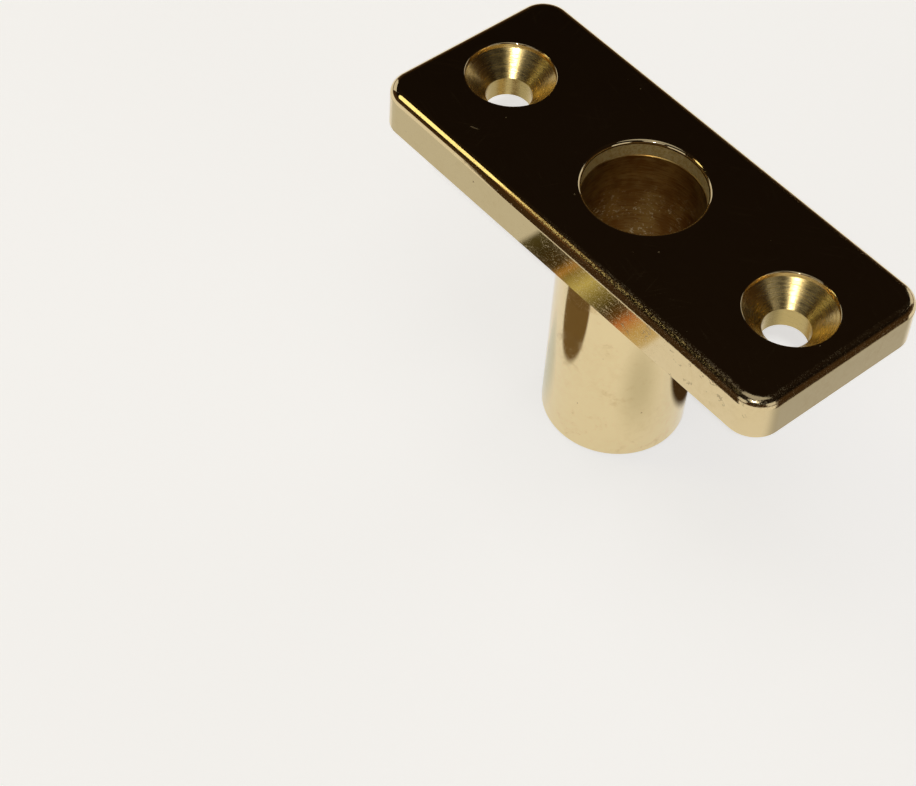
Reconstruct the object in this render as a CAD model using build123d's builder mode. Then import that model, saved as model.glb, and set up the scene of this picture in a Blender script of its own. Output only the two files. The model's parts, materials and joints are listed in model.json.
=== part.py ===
from build123d import *
import os

# Top-mount stanchion base: a screw-down brass deck plate with a round barrel brazed underneath.
# Millimetres. +Z is up along the barrel's axis, +X runs along the plate, and the origin is on that
# axis at the plate's underside, which is the face that seats on the deck.

# Deck plate
plate_length = 56.5
plate_width = 23.6
plate_thickness = 5.2
corner_radius = 3.2
top_edge_radius = 1.1
bottom_edge_break = 0.25

# Socket for the stanchion's foot, open right through the plate and the barrel
bore_diameter = 13.0
mouth_edge_radius = 0.4

# Barrel, with a thinner spigot at its top that fits a recess in the plate's underside
barrel_diameter = 16.0
barrel_length = 28.6
barrel_rim_radius = 0.7
barrel_inner_break = 0.3
spigot_diameter = 15.0
spigot_top = 3.3
spigot_inner_break = 0.15

# Groove round the spigot in the plate's underside, filled flush with a ring of silver-braze alloy
groove_diameter = 17.2
groove_depth = 0.6
braze_hollow = 0.12

# Two countersunk screw holes, for No. 10 (5 mm) wood screws
screw_spacing = 41.4
screw_hole_diameter = 5.0
screw_head_diameter = 9.6
screw_head_angle = 90
screw_head_band = 0.6
screw_mouth_break = 0.15


# The plate: a bar blank with polished-over top edges, bored, recessed below and countersunk
with BuildPart() as deck_plate:
    with BuildSketch(Plane.XY):
        RectangleRounded(plate_length, plate_width, corner_radius)
    extrude(amount=plate_thickness)
    fillet(deck_plate.edges().group_by(Axis.Z)[-1], radius=top_edge_radius)
    chamfer(deck_plate.edges().group_by(Axis.Z)[0], length=bottom_edge_break)

    # Socket hole, then from below the spigot's recess and the wider, shallower braze groove
    with Locations((0, 0, plate_thickness)):
        Hole(radius=bore_diameter / 2)
    with BuildSketch(Plane.XY):
        Circle(spigot_diameter / 2)
    extrude(amount=spigot_top, mode=Mode.SUBTRACT)
    with BuildSketch(Plane.XY):
        Circle(groove_diameter / 2)
    extrude(amount=groove_depth, mode=Mode.SUBTRACT)

    # Screw holes: a short straight band at the mouth, the screw head's cone, the shank's hole
    with BuildSketch(Plane.XY.offset(plate_thickness)):
        with GridLocations(screw_spacing, 0, 2, 1):
            Circle(screw_head_diameter / 2)
    extrude(amount=-screw_head_band, mode=Mode.SUBTRACT)
    with Locations(Plane.XY.offset(plate_thickness - screw_head_band)):
        with GridLocations(screw_spacing, 0, 2, 1):
            CounterSinkHole(
                radius=screw_hole_diameter / 2,
                counter_sink_radius=screw_head_diameter / 2,
                counter_sink_angle=screw_head_angle,
            )

    # Softened edges round the three mouths in the top face
    mouth_edges = deck_plate.edges().filter_by(GeomType.CIRCLE).group_by(Axis.Z)[-1]
    socket_mouth = mouth_edges.filter_by(lambda edge: abs(edge.radius - bore_diameter / 2) < 0.01)
    screw_mouths = mouth_edges.filter_by(lambda edge: abs(edge.radius - screw_head_diameter / 2) < 0.01)
    fillet(socket_mouth, radius=mouth_edge_radius)
    fillet(screw_mouths, radius=screw_mouth_break)
deck_plate.part.label = "deck_plate"

# The barrel: half its section, turned about the axis. Its shoulder is level with the plate's underside.
with BuildPart() as barrel:
    with BuildSketch(Plane.XZ):
        with BuildLine():
            Polyline(
                (bore_diameter / 2, -barrel_length),
                (barrel_diameter / 2, -barrel_length),
                (barrel_diameter / 2, 0),
                (spigot_diameter / 2, 0),
                (spigot_diameter / 2, spigot_top),
                (bore_diameter / 2, spigot_top),
                close=True,
            )
        make_face()
    revolve(axis=Axis.Z)
    end_edges = barrel.edges().group_by(Axis.Z)[0].sort_by(SortBy.RADIUS)
    fillet(end_edges[-1], radius=barrel_rim_radius)
    chamfer(end_edges[0], length=barrel_inner_break)
    top_inner_edge = barrel.edges().group_by(Axis.Z)[-1].sort_by(SortBy.RADIUS)[0]
    chamfer(top_inner_edge, length=spigot_inner_break)
barrel.part.label = "barrel"

# The braze: it fills the groove over the barrel's shoulder, and its bare face outside the barrel is
# slightly hollow
with BuildPart() as braze_ring:
    with BuildSketch(Plane.XZ):
        with BuildLine():
            shoulder_edge = (barrel_diameter / 2, 0)
            groove_edge = (groove_diameter / 2, 0)
            middle = ((barrel_diameter + groove_diameter) / 4, braze_hollow)
            ThreePointArc(shoulder_edge, middle, groove_edge)
            Polyline(
                groove_edge,
                (groove_diameter / 2, groove_depth),
                (spigot_diameter / 2, groove_depth),
                (spigot_diameter / 2, 0),
                shoulder_edge,
            )
        make_face()
    revolve(axis=Axis.Z)
braze_ring.part.label = "braze_ring"

os.makedirs("parts", exist_ok=True)
for piece in (deck_plate, barrel, braze_ring):
    export_step(piece.part, f"parts/{piece.part.label}.step")
    print(piece.part.label, round(piece.part.volume, 1), piece.part.bounding_box())
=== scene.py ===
"""Looks of the brass stanchion base: exact-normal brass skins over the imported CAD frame, in metres."""
import json
import math

import bpy
from mathutils import Matrix, Vector
from mathutils.geometry import delaunay_2d_cdt


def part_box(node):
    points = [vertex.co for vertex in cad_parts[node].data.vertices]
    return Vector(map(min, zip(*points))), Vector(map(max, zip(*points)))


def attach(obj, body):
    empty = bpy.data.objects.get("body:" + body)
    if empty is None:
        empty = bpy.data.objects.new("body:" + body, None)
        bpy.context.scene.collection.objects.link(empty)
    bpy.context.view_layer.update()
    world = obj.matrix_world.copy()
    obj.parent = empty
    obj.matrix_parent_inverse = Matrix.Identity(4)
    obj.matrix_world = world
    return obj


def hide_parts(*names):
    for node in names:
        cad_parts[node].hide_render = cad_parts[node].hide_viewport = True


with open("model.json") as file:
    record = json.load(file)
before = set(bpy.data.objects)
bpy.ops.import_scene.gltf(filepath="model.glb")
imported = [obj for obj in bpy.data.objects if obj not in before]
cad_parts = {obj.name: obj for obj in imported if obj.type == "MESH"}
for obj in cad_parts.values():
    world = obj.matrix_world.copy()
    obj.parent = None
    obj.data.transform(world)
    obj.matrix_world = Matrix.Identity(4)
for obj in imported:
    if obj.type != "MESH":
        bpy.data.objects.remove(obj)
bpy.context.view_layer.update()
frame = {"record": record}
MOUNTS = {mount["name"]: mount for mount in frame["record"]["mounts"]}
MM = 0.001


# ---------------------------------------------------------------- sizes

PLATE_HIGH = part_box("deck_plate")[1]
BARREL_LOW, BARREL_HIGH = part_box("barrel")
BRAZE_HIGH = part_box("braze_ring")[1]

PLATE_TOP = PLATE_HIGH.z
HALF_LENGTH = PLATE_HIGH.x
HALF_WIDTH = PLATE_HIGH.y
CORNER_RADIUS = 3.2 * MM
TOP_EDGE_RADIUS = 1.1 * MM
BOTTOM_BREAK = 0.25 * MM

BORE_RADIUS = MOUNTS["stanchion_socket"]["dims"]["r_mm"] * MM
MOUTH_EDGE_RADIUS = 0.4 * MM

SCREW_X = MOUNTS["screw_holes"]["dims"]["spacing_x_mm"] / 2 * MM
SCREW_HOLE_RADIUS = MOUNTS["screw_holes"]["dims"]["hole_r_mm"] * MM
SCREW_HEAD_RADIUS = 4.8 * MM
SCREW_HEAD_BAND = 0.6 * MM
SCREW_MOUTH_BREAK = 0.15 * MM

BARREL_RADIUS = BARREL_HIGH.x
BARREL_RIM_RADIUS = 0.7 * MM
BARREL_INNER_BREAK = 0.3 * MM
SPIGOT_RADIUS = 7.5 * MM
SPIGOT_TOP = BARREL_HIGH.z
SPIGOT_INNER_BREAK = 0.15 * MM

GROOVE_RADIUS = BRAZE_HIGH.x
GROOVE_DEPTH = BRAZE_HIGH.z
BRAZE_HOLLOW = 0.12 * MM

FLOOR_Z = BARREL_LOW.z


# ---------------------------------------------------------------- skins with exact normals

ARC_STEP = math.radians(7.5)
TURN_STATIONS = 192
CORNER_STATIONS = 24


def line(start, end):
    """A straight stretch of a profile: [(offset, height, normal)]. Its normal points left of its run."""
    run = Vector((end[0] - start[0], end[1] - start[1])).normalized()
    normal = (-run.y, run.x)
    return [(*start, normal), (*end, normal)]


def arc(centre, radius, start, end, hollow=False):
    """A round stretch of a profile, by its angles in degrees. hollow turns the normal to the centre."""
    a, b = math.radians(start), math.radians(end)
    steps = max(2, math.ceil(abs(b - a) / ARC_STEP))
    side = -1 if hollow else 1
    points = []
    for i in range(steps + 1):
        angle = a + (b - a) * i / steps
        outward = (math.cos(angle), math.sin(angle))
        points.append((
            centre[0] + radius * outward[0],
            centre[1] + radius * outward[1],
            (side * outward[0], side * outward[1]),
        ))
    return points


def circle_path(x=0.0, y=0.0):
    """Stations round an upright axis: where each profile stands and which way is outwards."""
    turn = [2 * math.pi * i / TURN_STATIONS for i in range(TURN_STATIONS)]
    return [((x, y), (math.cos(a), math.sin(a))) for a in turn]


def rounded_rectangle_path():
    """Stations round the plate's outline: the corner's centre, and the direction out of it."""
    stations = []
    for quarter, (sx, sy) in enumerate(((1, 1), (-1, 1), (-1, -1), (1, -1))):
        centre = (sx * (HALF_LENGTH - CORNER_RADIUS), sy * (HALF_WIDTH - CORNER_RADIUS))
        for i in range(CORNER_STATIONS + 1):
            angle = math.radians(90) * (quarter + i / CORNER_STATIONS)
            stations.append((centre, (math.cos(angle), math.sin(angle))))
    return stations


class Skin:
    """A closed mesh in which every face corner keeps the exact normal of the surface it lies on."""

    def __init__(self):
        self.points = []
        self.index = {}
        self.faces = []
        self.normals = []
        self.marks = {"turned": [], "satin": [], "drilled": [], "grained": []}

    def vertex(self, point):
        key = tuple(round(value * 1e8) for value in point)
        if key not in self.index:
            self.index[key] = len(self.points)
            self.points.append(point)
        return self.index[key]

    def face(self, corners, mark=None):
        """corners are (point, normal) pairs. The face is turned so that it looks the normals' way."""
        ids = [self.vertex(point) for point, _ in corners]
        kept = [i for i in range(len(ids)) if ids[i] != ids[i - 1]]
        if len(kept) < 3:
            return
        corners = [corners[i] for i in kept]
        ids = [ids[i] for i in kept]
        a, b, c = (Vector(corners[i][0]) for i in (0, 1, 2))
        wanted = sum((Vector(normal) for _, normal in corners), Vector())
        if (b - a).cross(c - a).dot(wanted) < 0:
            ids.reverse()
            corners.reverse()
        self.faces.append(ids)
        self.normals.extend(normal for _, normal in corners)
        for name, values in self.marks.items():
            values.extend([float(name == mark)] * len(ids))

    def sweep(self, path, profile, mark=None):
        """Carries a profile round a closed path.

        mark says how the face was finished: "turned" on the lathe, "satin" from the reamer, "drilled",
        "grained" where buffing left it uneven, and None where it is polished."""
        rings = []
        for (cx, cy), (ox, oy) in path:
            rings.append([
                ((cx + offset * ox, cy + offset * oy, height), (out * ox, out * oy, up))
                for offset, height, (out, up) in profile
            ])
        for here, ahead in zip(rings, rings[1:] + rings[:1]):
            for i in range(len(profile) - 1):
                self.face([here[i], here[i + 1], ahead[i + 1], ahead[i]], mark)

    def flat(self, height, up, outline, holes):
        """A flat face between an outline and round holes; each is (path, offset)."""
        spots = []
        loops = []
        for path, offset in (outline, *holes):
            loops.append(range(len(spots), len(spots) + len(path)))
            spots.extend((cx + offset * ox, cy + offset * oy) for (cx, cy), (ox, oy) in path)
        inside_without_holes = 2
        found = delaunay_2d_cdt([Vector(spot) for spot in spots], [], loops, inside_without_holes, 1e-9)
        triangles, origins = found[2], found[3]
        for triangle in triangles:
            self.face([((*spots[origins[i][0]], height), (0, 0, up)) for i in triangle])

    def build(self, name):
        mesh = bpy.data.meshes.new(name)
        mesh.from_pydata(self.points, [], self.faces)
        mesh.polygons.foreach_set("use_smooth", [True] * len(self.faces))
        mesh.normals_split_custom_set(self.normals)
        for mark, values in self.marks.items():
            mesh.attributes.new(mark, "FLOAT", "CORNER").data.foreach_set("value", values)
        piece = bpy.data.objects.new(name, mesh)
        bpy.context.scene.collection.objects.link(piece)
        return piece


# ---------------------------------------------------------------- pieces

def make_plate():
    outline = rounded_rectangle_path()
    socket = circle_path()
    screws = [circle_path(-SCREW_X), circle_path(SCREW_X)]
    skin = Skin()

    # Outside: bottom break, side, polished-over top edge
    side = CORNER_RADIUS
    shoulder = PLATE_TOP - TOP_EDGE_RADIUS
    skin.sweep(outline, line((side, BOTTOM_BREAK), (side - BOTTOM_BREAK, 0)))
    skin.sweep(outline, line((side, shoulder), (side, BOTTOM_BREAK)))
    skin.sweep(outline, arc((side - TOP_EDGE_RADIUS, shoulder), TOP_EDGE_RADIUS, 0, 90), "grained")

    # Socket: softened mouth, bore, then the spigot's recess and the braze groove below
    mouth = BORE_RADIUS + MOUTH_EDGE_RADIUS
    mouth_low = PLATE_TOP - MOUTH_EDGE_RADIUS
    skin.sweep(socket, arc((mouth, mouth_low), MOUTH_EDGE_RADIUS, 90, 180))
    skin.sweep(socket, line((BORE_RADIUS, SPIGOT_TOP), (BORE_RADIUS, mouth_low)), "satin")
    skin.sweep(socket, line((SPIGOT_RADIUS, SPIGOT_TOP), (BORE_RADIUS, SPIGOT_TOP)), "turned")
    skin.sweep(socket, line((SPIGOT_RADIUS, GROOVE_DEPTH), (SPIGOT_RADIUS, SPIGOT_TOP)), "turned")
    skin.sweep(socket, line((GROOVE_RADIUS, GROOVE_DEPTH), (SPIGOT_RADIUS, GROOVE_DEPTH)), "turned")
    skin.sweep(socket, line((GROOVE_RADIUS, 0), (GROOVE_RADIUS, GROOVE_DEPTH)), "turned")

    # Screw holes: softened mouth, straight band, cone for the screw head, shank hole
    head_mouth = SCREW_HEAD_RADIUS + SCREW_MOUTH_BREAK
    head_low = PLATE_TOP - SCREW_MOUTH_BREAK
    band_low = PLATE_TOP - SCREW_HEAD_BAND
    cone_low = band_low - (SCREW_HEAD_RADIUS - SCREW_HOLE_RADIUS)
    for screw in screws:
        skin.sweep(screw, arc((head_mouth, head_low), SCREW_MOUTH_BREAK, 90, 180))
        skin.sweep(screw, line((SCREW_HEAD_RADIUS, band_low), (SCREW_HEAD_RADIUS, head_low)), "turned")
        skin.sweep(screw, line((SCREW_HOLE_RADIUS, cone_low), (SCREW_HEAD_RADIUS, band_low)), "turned")
        skin.sweep(screw, line((SCREW_HOLE_RADIUS, 0), (SCREW_HOLE_RADIUS, cone_low)), "drilled")

    top_holes = [(socket, mouth)] + [(screw, head_mouth) for screw in screws]
    low_holes = [(socket, GROOVE_RADIUS)] + [(screw, SCREW_HOLE_RADIUS) for screw in screws]
    skin.flat(PLATE_TOP, 1, (outline, side - TOP_EDGE_RADIUS), top_holes)
    skin.flat(0, -1, (outline, side - BOTTOM_BREAK), low_holes)
    return skin.build("deck_plate_brass")


def make_barrel():
    axis = circle_path()
    bottom = BARREL_LOW.z
    rim = BARREL_RADIUS - BARREL_RIM_RADIUS
    rim_top = bottom + BARREL_RIM_RADIUS
    inner_rim = BORE_RADIUS + BARREL_INNER_BREAK
    inner_top = bottom + BARREL_INNER_BREAK
    spigot_rim = BORE_RADIUS + SPIGOT_INNER_BREAK
    spigot_low = SPIGOT_TOP - SPIGOT_INNER_BREAK
    skin = Skin()
    skin.sweep(axis, line((BARREL_RADIUS, 0), (BARREL_RADIUS, rim_top)))
    skin.sweep(axis, arc((rim, rim_top), BARREL_RIM_RADIUS, 0, -90))
    skin.sweep(axis, line((rim, bottom), (inner_rim, bottom)))
    skin.sweep(axis, line((inner_rim, bottom), (BORE_RADIUS, inner_top)), "turned")
    skin.sweep(axis, line((BORE_RADIUS, inner_top), (BORE_RADIUS, spigot_low)), "turned")
    skin.sweep(axis, line((BORE_RADIUS, spigot_low), (spigot_rim, SPIGOT_TOP)), "turned")
    skin.sweep(axis, line((spigot_rim, SPIGOT_TOP), (SPIGOT_RADIUS, SPIGOT_TOP)), "turned")
    skin.sweep(axis, line((SPIGOT_RADIUS, SPIGOT_TOP), (SPIGOT_RADIUS, 0)), "turned")
    skin.sweep(axis, line((SPIGOT_RADIUS, 0), (BARREL_RADIUS, 0)), "turned")
    return skin.build("barrel_brass")


def make_braze():
    """Fills the groove round the spigot. Its open side is hollowed, as braze that has drawn in."""
    axis = circle_path()
    half = (GROOVE_RADIUS - BARREL_RADIUS) / 2
    hollow_radius = (half * half + BRAZE_HOLLOW * BRAZE_HOLLOW) / (2 * BRAZE_HOLLOW)
    hollow_centre = (BARREL_RADIUS + half, BRAZE_HOLLOW - hollow_radius)
    reach = math.degrees(math.asin(half / hollow_radius))
    skin = Skin()
    skin.sweep(axis, line((SPIGOT_RADIUS, GROOVE_DEPTH), (GROOVE_RADIUS, GROOVE_DEPTH)))
    skin.sweep(axis, line((GROOVE_RADIUS, GROOVE_DEPTH), (GROOVE_RADIUS, 0)))
    skin.sweep(axis, arc(hollow_centre, hollow_radius, 90 - reach, 90 + reach, hollow=True))
    skin.sweep(axis, line((BARREL_RADIUS, 0), (SPIGOT_RADIUS, 0)))
    skin.sweep(axis, line((SPIGOT_RADIUS, 0), (SPIGOT_RADIUS, GROOVE_DEPTH)))
    return skin.build("braze_ring_alloy")


# ---------------------------------------------------------------- materials

class Finish:
    """A procedural metal. Its textures are laid out in millimetres of the object's own space."""

    def __init__(self, name):
        self.material = bpy.data.materials.new(name)
        self.material.use_nodes = True
        self.tree = self.material.node_tree
        self.surface = self.tree.nodes["Principled BSDF"]
        place = self.tree.nodes.new("ShaderNodeTexCoord")
        self.place = self.vector("MULTIPLY", place.outputs["Object"], (1 / MM, 1 / MM, 1 / MM))

    def node(self, kind, inputs=None, output=0, **settings):
        """Adds a node, sets or links its inputs, and gives one of its outputs."""
        node = self.tree.nodes.new(kind)
        for name, value in settings.items():
            setattr(node, name, value)
        for name, value in (inputs or {}).items():
            if isinstance(value, bpy.types.NodeSocket):
                self.tree.links.new(value, node.inputs[name])
            else:
                node.inputs[name].default_value = value
        return node.outputs[output]

    def vector(self, operation, a, b):
        return self.node("ShaderNodeVectorMath", {0: a, 1: b}, operation=operation)

    def math(self, operation, a, b=0.0, clamp=False):
        return self.node("ShaderNodeMath", {0: a, 1: b}, operation=operation, use_clamp=clamp)

    def band(self, value, low, high, start=0.0, end=1.0):
        """value between low and high, spread smoothly from start to end."""
        inputs = {"Value": value, "From Min": low, "From Max": high, "To Min": start, "To Max": end}
        return self.node("ShaderNodeMapRange", inputs, interpolation_type="SMOOTHSTEP")

    def blend(self, factor, a, b):
        """Between two numbers."""
        return self.node("ShaderNodeMix", {0: factor, 2: a, 3: b}, data_type="FLOAT")

    def tint(self, factor, a, b):
        """Between two colours. Sockets 6 and 7 of the Mix node take them, and output 2 gives one."""
        return self.node("ShaderNodeMix", {0: factor, 6: a, 7: b}, output=2, data_type="RGBA")

    def noise(self, place, scale, detail=2.0, roughness=0.5, distortion=0.0):
        inputs = {"Vector": place, "Scale": scale, "Detail": detail}
        inputs.update({"Roughness": roughness, "Distortion": distortion})
        return self.node("ShaderNodeTexNoise", inputs)

    def along(self, heading, stretch, across):
        """The place in mm, turned by heading degrees, with marks drawn out by stretch along it."""
        inputs = {"Vector": self.place, "Angle": math.radians(heading)}
        turned = self.node("ShaderNodeVectorRotate", inputs, rotation_type="Z_AXIS")
        return self.vector("MULTIPLY", turned, (1 / stretch, across, across))

    def scratches(self, heading, thin):
        """Fine straight scratches: 1 in a scratch, 0 between."""
        lines = self.noise(self.along(heading, 7.0, thin), 1.0, detail=1.0, distortion=0.15)
        here = self.noise(self.vector("ADD", self.place, (heading, 0, 0)), 0.16, detail=2.0)
        return self.math("MULTIPLY", self.band(lines, 0.66, 0.72), self.band(here, 0.46, 0.66))

    def pits(self, place, scale, size, share):
        """Round pits: 1 inside. share is how many cells hold one. A drawn-out place makes them nicks."""
        cell = self.tree.nodes.new("ShaderNodeTexVoronoi")
        cell.inputs["Scale"].default_value = scale
        cell.inputs["Randomness"].default_value = 1.0
        self.tree.links.new(place, cell.inputs["Vector"])
        chance = self.node("ShaderNodeSeparateColor", {"Color": cell.outputs["Color"]})
        size_here = self.band(chance, 0.0, share, size, 0.0)
        past_rim = self.math("SUBTRACT", cell.outputs["Distance"], size_here)
        return self.band(past_rim, -0.04, 0.0, 1.0, 0.0)

    def mark(self, name):
        """1 on the faces that carry this mark, 0 elsewhere."""
        return self.node("ShaderNodeAttribute", output=2, attribute_name=name, attribute_type="GEOMETRY")

    def bump(self, height, distance_mm, normal=None):
        inputs = {"Height": height, "Distance": distance_mm * MM, "Strength": 1.0}
        if normal is not None:
            inputs["Normal"] = normal
        return self.node("ShaderNodeBump", inputs)

    def finish(self, colour, roughness, normal):
        links = self.tree.links
        self.surface.inputs["Metallic"].default_value = 1.0
        links.new(colour, self.surface.inputs["Base Color"])
        links.new(roughness, self.surface.inputs["Roughness"])
        links.new(normal, self.surface.inputs["Normal"])
        return self.material


DIRT = (0.10, 0.06, 0.02, 1)
FLECK = (0.94, 0.84, 0.58, 1)
REAMED = ((0.84, 0.66, 0.26, 1), (0.98, 0.84, 0.44, 1))
DRILLED = (0.50, 0.38, 0.15, 1)
REAMED_ROUGHNESS = 0.60


def brass(name, bright, tarnished, cut, cut_roughness, stained):
    """Polished brass.

    cut is the pair of colours of its turned faces, and cut_roughness their least and most. stained is how
    strongly handling has marked the polish, from 0 to 1."""
    f = Finish(name)

    # Polished faces: buffing haze, fine scratches in several headings, specks and short nicks, stains
    haze = f.noise(f.place, 0.12, detail=4.0, roughness=0.6)
    mottle = f.noise(f.place, 1.1, detail=5.0, roughness=0.65)
    scratch = f.scratches(12, 8.0)
    for heading, thin in ((-38, 9.5), (74, 8.5), (-67, 11.0), (31, 10.0)):
        scratch = f.math("MAXIMUM", scratch, f.scratches(heading, thin))
    speck = f.pits(f.place, 0.55, 0.09, 0.45)
    nick = f.pits(f.along(-24, 4.0, 1.6), 0.42, 0.08, 0.16)
    pit = f.math("MAXIMUM", speck, nick)

    # Knocks along the plate's long sides, more towards +X. The barrel doesn't reach that far out.
    side = f.node("ShaderNodeSeparateXYZ", {0: f.place}, output=0)
    across = f.math("ABSOLUTE", f.node("ShaderNodeSeparateXYZ", {0: f.place}, output=1))
    flank = f.math("MULTIPLY", f.band(across, 11.3, 11.7), f.band(side, 0.0, 16.0, 0.08, 1.0))
    outline = f.math("ABSOLUTE", f.math("SUBTRACT", f.noise(f.place, 1.3), 0.5))
    struck = f.band(f.noise(f.vector("ADD", f.place, (31, 7, 3)), 0.8), 0.57, 0.62)
    knock = f.math("MULTIPLY", f.band(outline, 0.0, 0.07, 1.0, 0.0), struck)
    knock = f.math("MAXIMUM", knock, f.pits(f.place, 1.3, 0.10, 0.12))
    knock = f.math("MULTIPLY", knock, flank)

    grime = f.math("MULTIPLY", f.band(haze, 0.35, 0.7), f.band(mottle, 0.35, 0.72), clamp=True)
    blotch = f.noise(f.place, 0.27, detail=6.0, roughness=0.62, distortion=0.6)
    stain = f.band(blotch, 0.54, 0.68, 0.0, stained)

    colour = f.tint(f.math("MULTIPLY", grime, 0.4), bright, tarnished)
    colour = f.tint(f.math("MULTIPLY", stain, f.band(mottle, 0.3, 0.7)), colour, tarnished)
    colour = f.tint(f.math("MULTIPLY", f.math("MAXIMUM", pit, knock), 0.45), colour, DIRT)
    polished = f.band(haze, 0.3, 0.75, 0.03, 0.07)
    polished = f.math("ADD", polished, f.math("MULTIPLY", scratch, 0.14))
    polished = f.math("ADD", polished, f.math("MULTIPLY", stain, 0.08))
    polished = f.math("ADD", polished, f.math("MULTIPLY", pit, 0.45))
    polished = f.math("ADD", polished, f.math("MULTIPLY", knock, 0.12))

    # Turned and reamed faces: rings left by the tool, which draw highlights out across them
    satin = f.mark("satin")
    drilled = f.mark("drilled")
    turned = f.math("ADD", f.mark("turned"), f.math("ADD", satin, drilled))
    height = f.node("ShaderNodeSeparateXYZ", {0: f.place}, output=2)
    ring_place = f.node("ShaderNodeCombineXYZ", {"X": 0.0, "Y": 0.0, "Z": height})
    rings = f.noise(ring_place, 24.0, detail=2.0, roughness=0.6)
    speckle = f.noise(f.place, 2.6, detail=5.0, roughness=0.75)
    tooled = f.noise(f.vector("MULTIPLY", f.place, (0.5, 0.5, 7.0)), 1.0, detail=4.0, roughness=0.65)
    patches = f.noise(f.place, 0.35, detail=3.0, roughness=0.6)
    deep = f.band(height, 1.5, -5.0)
    flecks = f.math("MAXIMUM", f.band(speckle, 0.56, 0.62), f.pits(f.place, 1.7, 0.22, 0.6))
    flecks = f.math("MULTIPLY", flecks, f.math("MULTIPLY", f.band(patches, 0.38, 0.55), deep))
    cut_colour = f.tint(f.band(f.math("ADD", tooled, patches), 0.80, 1.2), *cut)
    cut_colour = f.tint(flecks, cut_colour, FLECK)
    cut_colour = f.tint(satin, cut_colour, f.tint(f.band(speckle, 0.4, 0.6), *REAMED))
    cut_colour = f.tint(drilled, cut_colour, DRILLED)
    colour = f.tint(turned, colour, cut_colour)
    cut_rough = f.band(tooled, 0.35, 0.65, *cut_roughness)
    cut_rough = f.math("ADD", cut_rough, f.math("MULTIPLY", flecks, 0.25))
    cut_rough = f.blend(satin, cut_rough, REAMED_ROUGHNESS)
    roughness = f.blend(turned, polished, cut_rough)

    # Edges that were buffed over by hand: a fine grain, stronger towards +X
    grained = f.math("MULTIPLY", f.mark("grained"), f.band(side, -14.0, 4.0, 0.12, 1.0))
    grain_noise = f.noise(f.place, 5.5, detail=3.0, roughness=0.7)
    grain = f.math("MULTIPLY", grain_noise, grained)
    dulled = f.math("MULTIPLY", f.band(grain_noise, 0.42, 0.62, 0.0, 0.17), grained)
    roughness = f.math("ADD", roughness, dulled)

    # Bumps, with their heights in mm: the polish's slight waves, its marks, the tool's rings, the grain
    normal = f.bump(f.noise(f.place, 0.16, detail=1.0), 0.02)
    normal = f.bump(f.math("SUBTRACT", f.math("MULTIPLY", scratch, -0.12), pit), 0.01, normal)
    normal = f.bump(f.math("MULTIPLY", rings, turned), 0.008, normal)
    normal = f.bump(grain, 0.003, normal)
    return f.finish(colour, roughness, normal)


def braze_alloy(name):
    f = Finish(name)
    flow = f.noise(f.place, 0.9, detail=4.0, roughness=0.6)
    fine = f.noise(f.place, 7.0, detail=3.0)
    colour = f.tint(f.band(flow, 0.35, 0.7), (0.80, 0.74, 0.56, 1), (0.58, 0.46, 0.30, 1))
    normal = f.bump(fine, 0.01, f.bump(flow, 0.12))
    return f.finish(colour, f.band(flow, 0.3, 0.7, 0.22, 0.42), normal)


# ---------------------------------------------------------------- studio

def direction(azimuth, elevation):
    """Unit vector. Azimuth is counted from +X towards +Y; both in degrees."""
    a, e = math.radians(azimuth), math.radians(elevation)
    return Vector((math.cos(e) * math.cos(a), math.cos(e) * math.sin(a), math.sin(e)))


LIGHT_DISTANCE = 0.8


def softbox(name, azimuth, elevation, width, height, radiance, colour=(1, 1, 1), roll=0, rounded=False):
    """A rectangular or elliptical light that faces the object. width and height are the angles it fills."""
    light = bpy.data.lights.new(name, "AREA")
    light.shape = "ELLIPSE" if rounded else "RECTANGLE"
    light.size = 2 * LIGHT_DISTANCE * math.tan(math.radians(width / 2))
    light.size_y = 2 * LIGHT_DISTANCE * math.tan(math.radians(height / 2))
    area = light.size * light.size_y * (math.pi / 4 if rounded else 1)
    light.energy = math.pi * area * radiance
    light.color = colour
    lamp = bpy.data.objects.new(name, light)
    outward = direction(azimuth, elevation)
    lamp.location = outward * LIGHT_DISTANCE
    turn = Matrix.Rotation(math.radians(roll), 3, outward) @ outward.to_track_quat("Z", "Y").to_matrix()
    lamp.rotation_euler = turn.to_euler()
    lamp.visible_camera = False
    bpy.context.scene.collection.objects.link(lamp)


def sun(name, azimuth, elevation, spread, irradiance):
    """A round light far off. spread is the angle it fills, in degrees."""
    light = bpy.data.lights.new(name, "SUN")
    light.angle = math.radians(spread)
    light.energy = irradiance
    lamp = bpy.data.objects.new(name, light)
    lamp.rotation_euler = direction(azimuth, elevation).to_track_quat("Z", "Y").to_euler()
    bpy.context.scene.collection.objects.link(lamp)


FLOOR_RADIUS = 4.0
FLOOR_STATIONS = 96


def make_floor():
    mesh = bpy.data.meshes.new("floor")
    turn = [2 * math.pi * i / FLOOR_STATIONS for i in range(FLOOR_STATIONS)]
    rim = [(FLOOR_RADIUS * math.cos(a), FLOOR_RADIUS * math.sin(a), FLOOR_Z) for a in turn]
    mesh.from_pydata(rim, [], [range(FLOOR_STATIONS)])
    floor = bpy.data.objects.new("floor", mesh)
    bpy.context.scene.collection.objects.link(floor)
    material = bpy.data.materials.new("pale_floor")
    material.use_nodes = True
    surface = material.node_tree.nodes["Principled BSDF"]
    surface.inputs["Base Color"].default_value = (0.80, 0.80, 0.79, 1)
    surface.inputs["Roughness"].default_value = 0.9
    surface.inputs["Specular IOR Level"].default_value = 0.0
    surface.inputs["Emission Color"].default_value = (1.0, 0.98, 0.95, 1)
    surface.inputs["Emission Strength"].default_value = 0.61
    mesh.materials.append(material)


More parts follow.
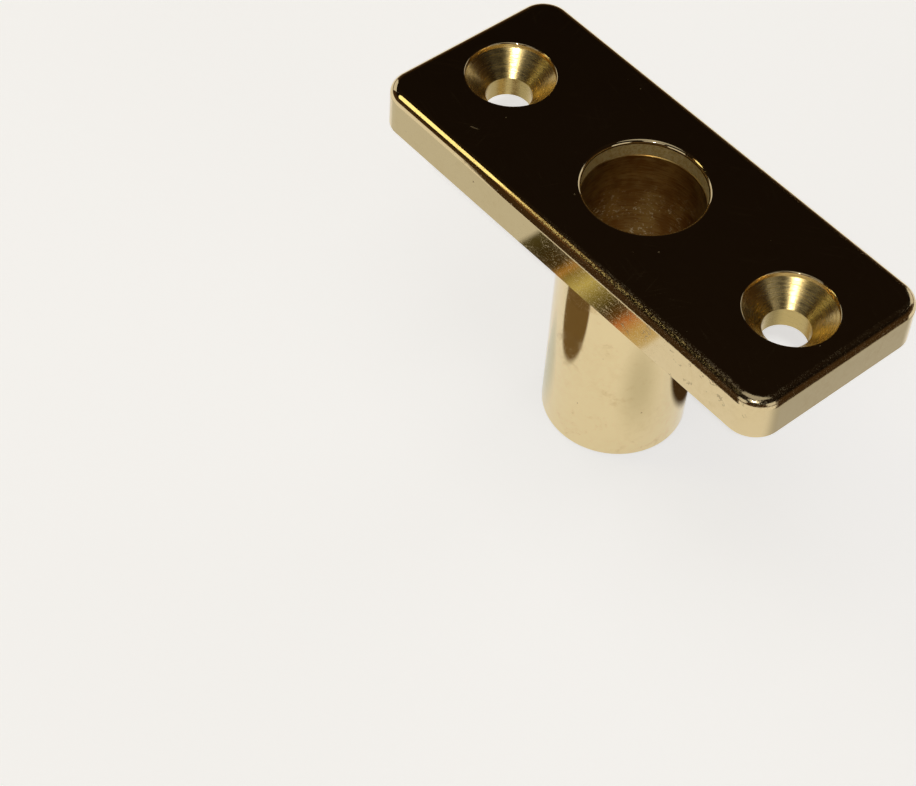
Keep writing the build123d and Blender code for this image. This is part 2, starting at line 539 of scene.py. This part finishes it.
def make_world():
    """Pale behind the object, dim for everything else: the brass mirrors a dark room with soft lights."""
    world = bpy.data.worlds.new("studio")
    world.use_nodes = True
    tree = world.node_tree
    back = tree.nodes["Background"]
    place = tree.nodes.new("ShaderNodeTexCoord")
    split = tree.nodes.new("ShaderNodeSeparateXYZ")
    ramp = tree.nodes.new("ShaderNodeValToRGB")
    seen = tree.nodes.new("ShaderNodeLightPath")
    mix = tree.nodes.new("ShaderNodeMix")
    mix.data_type = "RGBA"
    stops = ramp.color_ramp.elements
    stops[0].position, stops[0].color = 0.25, (0.060, 0.032, 0.013, 1)
    stops[1].position, stops[1].color = 0.60, (0.006, 0.004, 0.003, 1)
    top = stops.new(1.0)
    top.color = (0.020, 0.012, 0.007, 1)
    tree.links.new(place.outputs["Generated"], split.inputs[0])
    tree.links.new(split.outputs["Z"], ramp.inputs[0])
    tree.links.new(ramp.outputs["Color"], mix.inputs[6])
    mix.inputs[7].default_value = (0.80, 0.79, 0.78, 1)
    tree.links.new(seen.outputs["Is Camera Ray"], mix.inputs[0])
    tree.links.new(mix.outputs[2], back.inputs["Color"])
    bpy.context.scene.world = world


def reflected_only(thing):
    """Leaves a prop in mirror reflections, and out of everything else."""
    thing.visible_camera = False
    thing.visible_diffuse = False
    thing.visible_shadow = False
    thing.visible_transmission = False


def glow(name, colour, centre, half, soft, rounded=False):
    """A faintly glowing material for the cards, which fades out towards the card's edge.

    colour is one colour, or (share of the way along X, colour) stops. centre and half are (x, y, z) in mm:
    the card's middle, and half its size, with 0 along an axis that the fade leaves alone. soft is the share
    of half that the fade takes. rounded fades over an ellipse in place of a rectangle."""
    material = bpy.data.materials.new(name)
    material.use_nodes = True
    tree = material.node_tree
    tree.nodes.remove(tree.nodes["Principled BSDF"])

    def node(kind, output=0, **settings):
        made = tree.nodes.new(kind)
        for setting, value in settings.items():
            setattr(made, setting, value)
        return made, made.outputs[output]

    place = tree.nodes.new("ShaderNodeTexCoord").outputs["Object"]
    scale = [1 / (size * MM) if size else 0.0 for size in half]
    shares, spot = node("ShaderNodeVectorMath", operation="MULTIPLY_ADD")
    shares.inputs[1].default_value = scale
    shares.inputs[2].default_value = [-middle * MM * factor for middle, factor in zip(centre, scale)]
    tree.links.new(place, shares.inputs[0])

    if rounded:
        reach, away = node("ShaderNodeVectorMath", output=1, operation="LENGTH")
        tree.links.new(spot, reach.inputs[0])
    else:
        positive, sides = node("ShaderNodeVectorMath", operation="ABSOLUTE")
        tree.links.new(spot, positive.inputs[0])
        split = tree.nodes.new("ShaderNodeSeparateXYZ")
        tree.links.new(sides, split.inputs[0])
        away = split.outputs["X"]
        for axis in ("Y", "Z"):
            larger, result = node("ShaderNodeMath", operation="MAXIMUM")
            tree.links.new(away, larger.inputs[0])
            tree.links.new(split.outputs[axis], larger.inputs[1])
            away = result
    fade, strength = node("ShaderNodeMapRange", interpolation_type="SMOOTHSTEP")
    limits = {"From Min": 1.0 - soft, "From Max": 1.0, "To Min": 1.0, "To Max": 0.0}
    for socket, value in limits.items():
        fade.inputs[socket].default_value = value
    tree.links.new(away, fade.inputs["Value"])

    lit = tree.nodes.new("ShaderNodeEmission")
    if isinstance(colour[0], float):
        lit.inputs["Color"].default_value = (*colour, 1)
    else:
        along = tree.nodes.new("ShaderNodeSeparateXYZ")
        way, share = node("ShaderNodeMapRange")
        way.inputs["From Min"].default_value = -1.0
        ramp = tree.nodes.new("ShaderNodeValToRGB")
        elements = ramp.color_ramp.elements
        elements.remove(elements[1])
        for i, (position, stop_colour) in enumerate(colour):
            stop = elements[0] if i == 0 else elements.new(position)
            stop.position, stop.color = position, (*stop_colour, 1)
        tree.links.new(spot, along.inputs[0])
        tree.links.new(along.outputs["X"], way.inputs["Value"])
        tree.links.new(share, ramp.inputs[0])
        tree.links.new(ramp.outputs["Color"], lit.inputs["Color"])

    mix = tree.nodes.new("ShaderNodeMixShader")
    tree.links.new(strength, mix.inputs[0])
    tree.links.new(tree.nodes.new("ShaderNodeBsdfTransparent").outputs[0], mix.inputs[1])
    tree.links.new(lit.outputs[0], mix.inputs[2])
    tree.links.new(mix.outputs[0], tree.nodes["Material Output"].inputs["Surface"])
    return material


def card(name, corners, material):
    """A flat card, given by its corners in mm, that only shows in reflections."""
    mesh = bpy.data.meshes.new(name)
    mesh.from_pydata([Vector(corner) * MM for corner in corners], [], [range(len(corners))])
    mesh.materials.append(material)
    thing = bpy.data.objects.new(name, mesh)
    bpy.context.scene.collection.objects.link(thing)
    reflected_only(thing)


def floor_card(name, centre, half, colour, soft, lift, cut=0.0, rounded=True):
    """A card on the floor. In mm, lift is its height over the floor, and cut is left off its -Y side."""
    (cx, cy), (hx, hy), z = centre, half, FLOOR_Z / MM + lift
    low = cy - hy + cut
    corners = [(cx - hx, low, z), (cx + hx, low, z), (cx + hx, cy + hy, z), (cx - hx, cy + hy, z)]
    card(name, corners, glow(name, colour, (cx, cy, z), (hx, hy, 0), soft, rounded))


def standing_card(name, centre, half, colour, soft):
    """An upright card. half is 0 across it."""
    (cx, cy, cz), (hx, hy, hz) = centre, half
    corners = [(cx - hx, cy - hy, cz - hz), (cx + hx, cy + hy, cz - hz)]
    corners += [(x, y, cz + hz) for x, y, _ in reversed(corners)]
    card(name, corners, glow(name, colour, centre, half, soft))


def make_cards():
    """Painted shadows and painted shade on the floor, a painted reflection of a neighbouring brass part,
    and dark cards standing on the floor: seen only in reflections, they give the mirror faces their
    contrast.
    """
    dark = (0.05, 0.027, 0.011)
    # Painted reflection: the warm card's glowing bands of gold, orange and dark brown on the floor stand
    # for a neighbouring brass part mirrored in the plate's -Y side.
    warm = (
        (0.00, (0.10, 0.085, 0.030)),
        (0.14, (0.05, 0.037, 0.012)),
        (0.27, (0.07, 0.045, 0.016)),
        (0.33, (0.48, 0.26, 0.06)),
        (0.37, (0.28, 0.21, 0.055)),
        (0.47, (0.62, 0.55, 0.20)),
        (0.57, (0.24, 0.20, 0.06)),
        (0.66, (0.07, 0.05, 0.014)),
        (0.73, (0.13, 0.065, 0.018)),
        (0.79, (0.58, 0.22, 0.07)),
        (0.87, (0.64, 0.46, 0.19)),
        (1.00, (0.70, 0.58, 0.33)),
    )
    # Dark cards, seen only in reflections: painted dark reflections on the plate's -Y side and +X end.
    standing_card("front_card", (-9.5, -51, -8), (30, 0, 21), dark, 0.12)
    standing_card("end_card", (68, 23, -8), (0, 24, 21), dark, 0.12)
    floor_card("painted_reflection_card", (-14, -32.8), (11.0, 2.3), warm, 0.10, lift=0.2, rounded=False)
    # Painted shadows and painted shade on the floor, seen only in reflections: front_shade is a
    # neighbouring part's shadow and back_shade the plate's shadow behind the barrel. The paler cards after
    # them darken the floor that the sides and the barrel mirror.
    floor_card("front_shade", (-13, -24), (10.7, 10.9), (0.17, 0.11, 0.045), 0.14, lift=0.2, cut=5.2)
    floor_card("back_shade", (10.5, 9.4), (8.8, 4.4), dark, 0.40, lift=0.25)
    floor_card("end_shade", (57, 28), (33, 42), (0.50, 0.49, 0.46), 0.60, lift=0.1, rounded=False)
    floor_card("left_shade", (-46, -31), (34, 19), (0.66, 0.65, 0.60), 0.44, lift=0.05, rounded=False)
    floor_card("shade_right_of_barrel", (17, -6), (9, 10), (0.66, 0.64, 0.58), 0.90, lift=0.15)
    floor_card("shade_left_of_barrel", (-11.5, -6.5), (8.5, 4.5), (0.66, 0.69, 0.68), 0.70, lift=0.15)


# The camera looks at this point, in mm, from this direction, turned about its line of sight
CAMERA_AIM = (5.917, -29.247, 0.0)
CAMERA_AZIMUTH, CAMERA_ELEVATION, CAMERA_ROLL = -43.2055, 50.292, 4.165
CAMERA_DISTANCE = 223.158 * MM
CAMERA_LENS, CAMERA_SENSOR = 91.85, 36.0


def make_camera():
    aim = Vector(CAMERA_AIM) * MM
    back = direction(CAMERA_AZIMUTH, CAMERA_ELEVATION)
    roll = math.radians(CAMERA_ROLL)
    level = Vector((0, 0, 1)).cross(back).normalized()
    right = level * math.cos(roll) + back.cross(level) * math.sin(roll)
    up = back.cross(right)
    data = bpy.data.cameras.new("camera")
    data.sensor_width = CAMERA_SENSOR
    data.lens = CAMERA_LENS
    data.clip_start = 0.01
    data.clip_end = 20.0
    camera = bpy.data.objects.new("camera", data)
    turn = Matrix((right, up, back)).transposed().to_4x4()
    camera.matrix_world = Matrix.Translation(aim + back * CAMERA_DISTANCE) @ turn
    bpy.context.scene.collection.objects.link(camera)
    bpy.context.scene.camera = camera


# ---------------------------------------------------------------- the scene

BRIGHT_CUT = ((0.74, 0.56, 0.24, 1), (0.56, 0.40, 0.14, 1))
DULL_CUT = ((0.30, 0.155, 0.032, 1), (0.52, 0.36, 0.12, 1))
SLOTS = {
    "polished_plate": brass(
        "polished_plate_brass", bright=(0.73, 0.59, 0.34, 1), tarnished=(0.60, 0.45, 0.22, 1),
        cut=BRIGHT_CUT, cut_roughness=(0.20, 0.29), stained=0.10,
    ),
    "polished_barrel": brass(
        "polished_barrel_brass", bright=(0.80, 0.65, 0.37, 1), tarnished=(0.66, 0.50, 0.26, 1),
        cut=DULL_CUT, cut_roughness=(0.30, 0.50), stained=1.0,
    ),
    "braze_alloy": braze_alloy("braze_alloy_satin"),
}

PIECES = (
    (make_plate(), "deck_plate", "polished_plate"),
    (make_barrel(), "barrel", "polished_barrel"),
    (make_braze(), "braze_ring", "braze_alloy"),
)
for piece, node, slot in PIECES:
    piece.data.materials.append(SLOTS[slot])
    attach(piece, "root")
    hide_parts(node)

make_camera()
make_floor()
make_world()
make_cards()

# Key light near the camera, a warm panel high on the left, and low softboxes with dark gaps between
sun("key", -53, 50, 2, 0.6)
softbox("key_glow", -53, 50, 26, 26, 0.5)
softbox("key_core", -53, 50, 10, 10, 2.4, rounded=True)
softbox("left_panel", 215, 44.5, 12, 32, 1.7, (1.0, 0.93, 0.50), roll=41, rounded=True)
softbox("left_glow", 226, 44, 3, 44, 0.16, (1.0, 0.45, 0.13), roll=34)
softbox("zenith", 0, 90, 36, 36, 0.45)
for azimuth in (90, 180, -90, 0):
    softbox(f"low_{azimuth}", azimuth, 20, 28, 26, 0.7)

scene = bpy.context.scene
scene.view_settings.view_transform = "Standard"
scene.cycles.caustics_reflective = False
scene.cycles.caustics_refractive = False
